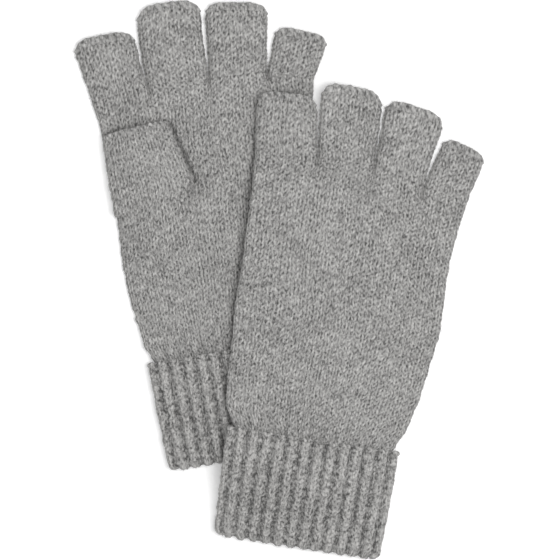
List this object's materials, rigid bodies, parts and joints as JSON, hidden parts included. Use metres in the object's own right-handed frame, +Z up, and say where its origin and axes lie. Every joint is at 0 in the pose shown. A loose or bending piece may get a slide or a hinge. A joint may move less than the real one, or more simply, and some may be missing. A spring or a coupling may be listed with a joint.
{
  "type": "fingerless gloves",
  "caption": "Pair of knitted fingerless gloves with turned-up rib cuffs, lying flat, one lapping over the other.",
  "frame": {"origin": "middle of the pair's plan outline, on the surface they lie on", "axes": "+Z up from the surface, +Y towards the fingertips, +X towards the right glove"},
  "size_m": [0.1872, 0.2548, 0.0278],
  "materials": {
    "plain_knit": "brushed grey melange plain knit",
    "rib_knit": "brushed grey melange one-by-one rib",
    "bound_edge": "brushed grey melange bound-off edge"
  },
  "bodies": {
    "left_glove": {"left_hand_back": "plain_knit", "left_hand_palm": "plain_knit", "left_thumb_gusset": "plain_knit", "left_cuff_inner": "rib_knit", "left_cuff_outer": "rib_knit", "left_cuff_edge": "rib_knit", "left_cuff_fold": "rib_knit"},
    "right_glove": {"right_hand_back": "plain_knit", "right_hand_palm": "plain_knit", "right_thumb_gusset": "plain_knit", "right_cuff_inner": "rib_knit"},
    "right_cuff_turnup": {"right_cuff_outer": "rib_knit", "right_cuff_edge": "rib_knit", "right_cuff_fold": "rib_knit"},
    "left_index_stub": {"left_index_finger": "plain_knit", "left_index_edge": "bound_edge"},
    "left_middle_stub": {"left_middle_finger": "plain_knit", "left_middle_edge": "bound_edge"},
    "left_ring_stub": {"left_ring_finger": "plain_knit", "left_ring_edge": "bound_edge"},
    "left_little_stub": {"left_little_finger": "plain_knit", "left_little_edge": "bound_edge"},
    "left_thumb_tube": {"left_thumb": "plain_knit", "left_thumb_edge": "bound_edge"},
    "right_index_stub": {"right_index_finger": "plain_knit", "right_index_edge": "bound_edge"},
    "right_middle_stub": {"right_middle_finger": "plain_knit", "right_middle_edge": "bound_edge"},
    "right_ring_stub": {"right_ring_finger": "plain_knit", "right_ring_edge": "bound_edge"},
    "right_little_stub": {"right_little_finger": "plain_knit", "right_little_edge": "bound_edge"},
    "right_thumb_tube": {"right_thumb": "plain_knit", "right_thumb_edge": "bound_edge"}
  },
  "joints": [
    {"name": "right_glove_lift", "type": "slide", "parent": "left_glove", "child": "right_glove", "axis": [0, 0, 1], "range_m": [0, 0.12]},
    {"name": "right_cuff_turn_down", "type": "slide", "parent": "right_glove", "child": "right_cuff_turnup", "axis": [-0.1564, -0.9877, 0], "range_m": [0, 0.046], "deforming": ["right_cuff_outer", "right_cuff_edge"]},
    {"name": "left_index_bend", "type": "hinge", "parent": "left_glove", "child": "left_index_stub", "pos_m": [-0.07257, 0.08502, 0.0091], "axis": [0.9447, 0.328, 0], "range_deg": [0, 50]},
    {"name": "left_middle_bend", "type": "hinge", "parent": "left_glove", "child": "left_middle_stub", "pos_m": [-0.04617, 0.09079, 0.0091], "axis": [0.9952, 0.0976, 0], "range_deg": [0, 50]},
    {"name": "left_ring_bend", "type": "hinge", "parent": "left_glove", "child": "left_ring_stub", "pos_m": [-0.01881, 0.09374, 0.0091], "axis": [0.9932, 0.1164, 0], "range_deg": [0, 50]},
    {"name": "left_little_bend", "type": "hinge", "parent": "left_glove", "child": "left_little_stub", "pos_m": [0.00538, 0.09359, 0.0091], "axis": [0.9862, -0.1658, 0], "range_deg": [0, 50]},
    {"name": "left_thumb_lift", "type": "hinge", "parent": "left_glove", "child": "left_thumb_tube", "pos_m": [-0.05688, 0.0361, 0.0179], "axis": [0.9244, 0.3814, 0], "range_deg": [0, 70]},
    {"name": "right_index_bend", "type": "hinge", "parent": "right_glove", "child": "right_index_stub", "pos_m": [0.00345, 0.05703, 0.0185], "axis": [0.9978, -0.0667, 0], "range_deg": [0, 40]},
    {"name": "right_middle_bend", "type": "hinge", "parent": "right_glove", "child": "right_middle_stub", "pos_m": [0.03089, 0.05451, 0.01836], "axis": [0.9929, -0.1188, 0], "range_deg": [0, 40]},
    {"name": "right_ring_bend", "type": "hinge", "parent": "right_glove", "child": "right_ring_stub", "pos_m": [0.05521, 0.04792, 0.0093], "axis": [0.9132, -0.4076, 0], "range_deg": [0, 40]},
    {"name": "right_little_bend", "type": "hinge", "parent": "right_glove", "child": "right_little_stub", "pos_m": [0.07621, 0.03923, 0.0093], "axis": [0.9359, -0.3524, 0], "range_deg": [0, 40]},
    {"name": "right_thumb_swing", "type": "hinge", "parent": "right_glove", "child": "right_thumb_tube", "pos_m": [-0.01445, 0.00185, 0.0141], "axis": [0, 0, 1], "range_deg": [0, 35]}
  ]
}
